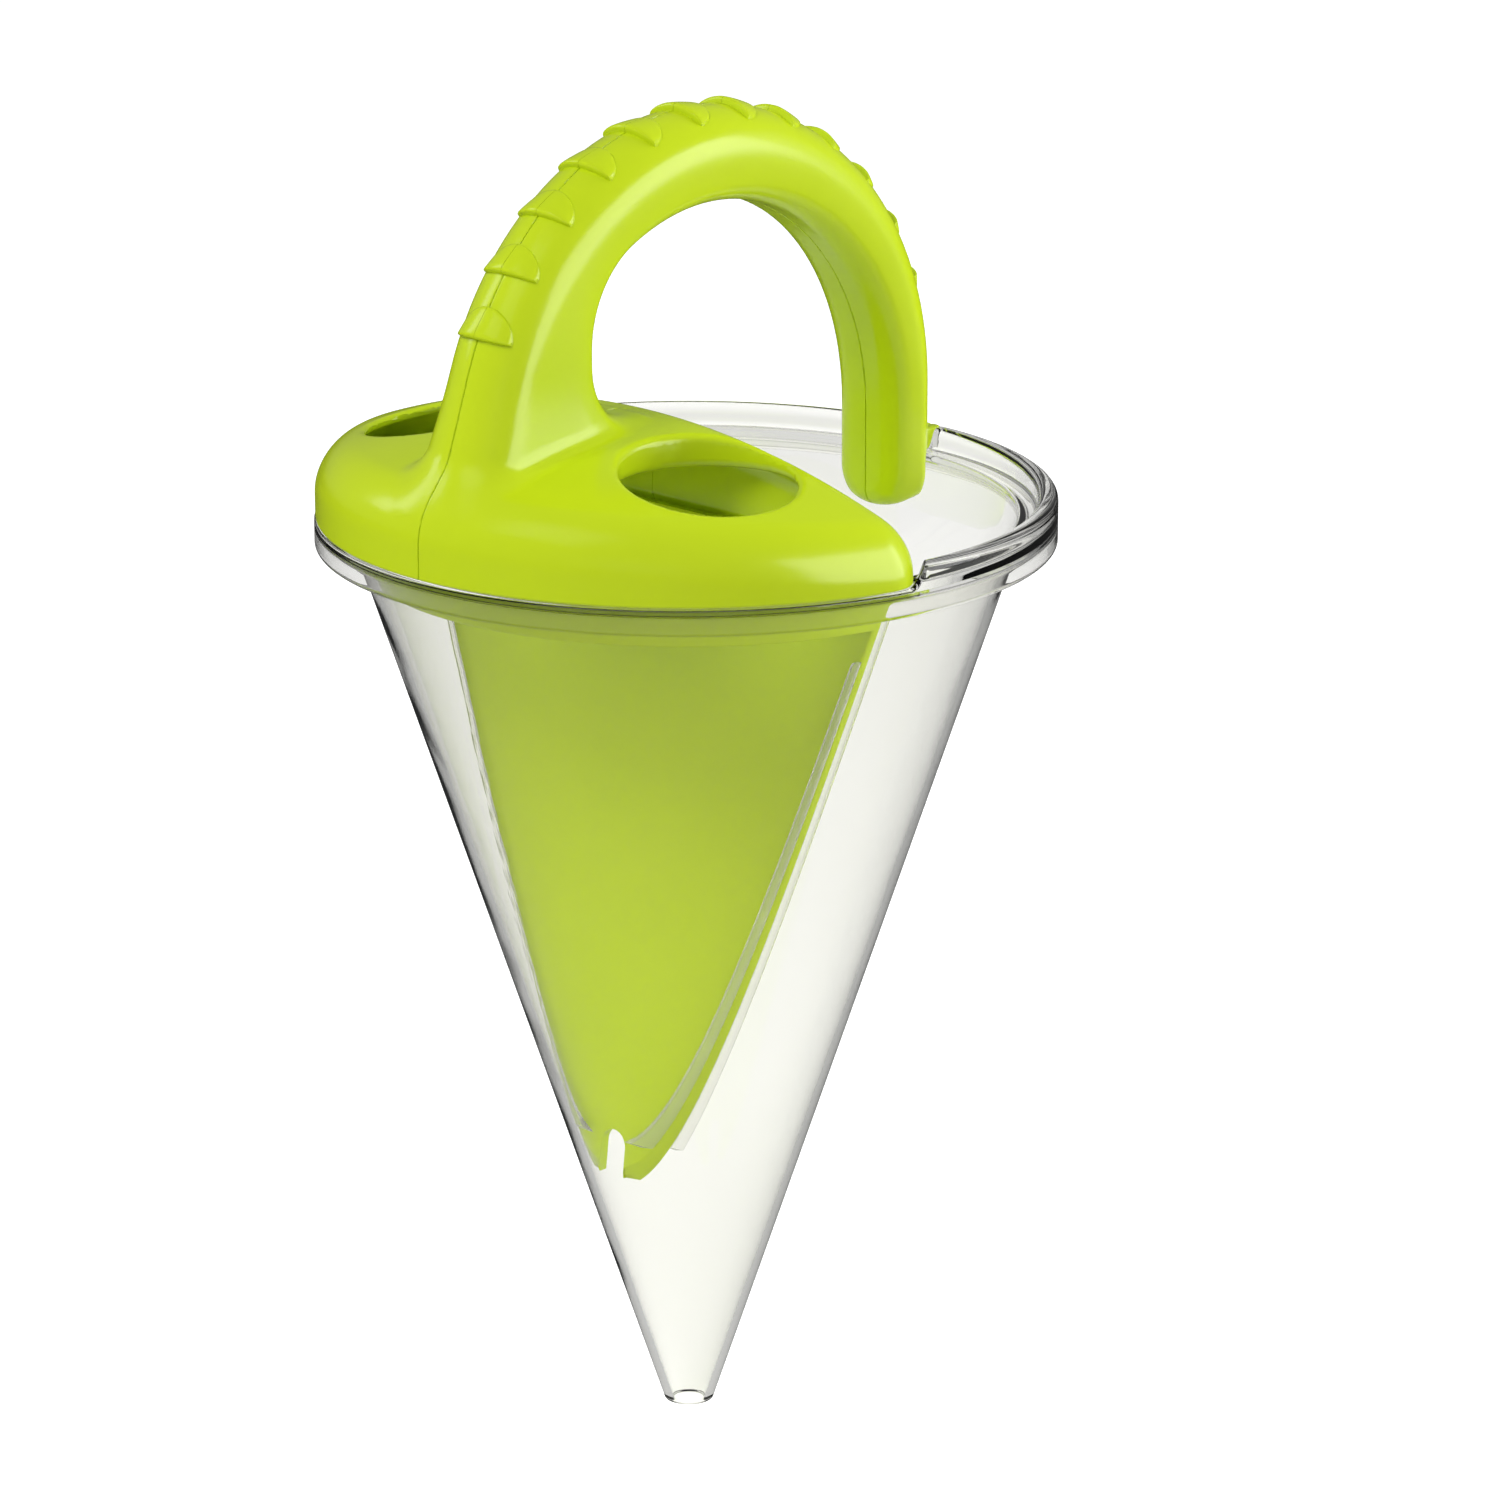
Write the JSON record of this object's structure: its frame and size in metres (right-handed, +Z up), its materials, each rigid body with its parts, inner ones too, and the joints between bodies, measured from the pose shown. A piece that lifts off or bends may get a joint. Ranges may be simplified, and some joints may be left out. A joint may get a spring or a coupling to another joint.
{
  "type": "sand funnel",
  "caption": "Toy funnel with a clear cone for wet sand and a lift-out green insert: domed lid with filling holes, arched grip handle and a leaning partition that forms a water tank.",
  "frame": {"origin": "centre of the outlet's lower end, on the cone's axis", "axes": "+Z up along the cone's axis, +X in the handle's plane from the lid towards the handle's free end, +Y to the left of the handle seen along +X"},
  "size_m": [0.185, 0.185, 0.3411],
  "materials": {
    "clear_plastic": "clear, polished, faint grey-green tint",
    "lime_green_plastic": "lime green, satin gloss, moulded through"
  },
  "bodies": {
    "funnel": {"funnel_body": "clear_plastic"},
    "insert": {"handle_shell_left": "lime_green_plastic", "handle_shell_right": "lime_green_plastic", "tank_partition": "lime_green_plastic"}
  },
  "joints": [
    {"name": "insert_lift", "type": "slide", "parent": "funnel", "child": "insert", "axis": [0.0732, 0, 0.9973], "range_m": [0, 0.2]}
  ]
}
